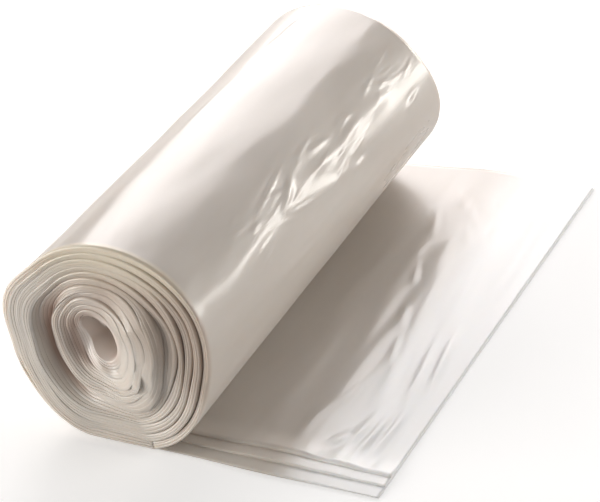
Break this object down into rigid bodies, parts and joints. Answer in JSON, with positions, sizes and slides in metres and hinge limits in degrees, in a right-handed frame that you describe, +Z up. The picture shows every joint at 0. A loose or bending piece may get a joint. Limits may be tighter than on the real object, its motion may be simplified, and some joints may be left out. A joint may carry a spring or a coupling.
{
  "type": "bin bag roll",
  "caption": "Coreless roll of flat-folded translucent white polythene bin bags, with the leading bag drawn off and lying flat beside it.",
  "frame": {"origin": "on the table, under the axis of the roll, half way along it", "axes": "+Y along the roll's axis, away from the end with the sunken rings; +X the way the loose tail lies; +Z up"},
  "size_m": [0.1573, 0.2712, 0.089],
  "materials": {
    "film": "glossy, milky translucent polythene film"
  },
  "bodies": {
    "root": {"bag_roll": "film"}
  },
  "joints": []
}
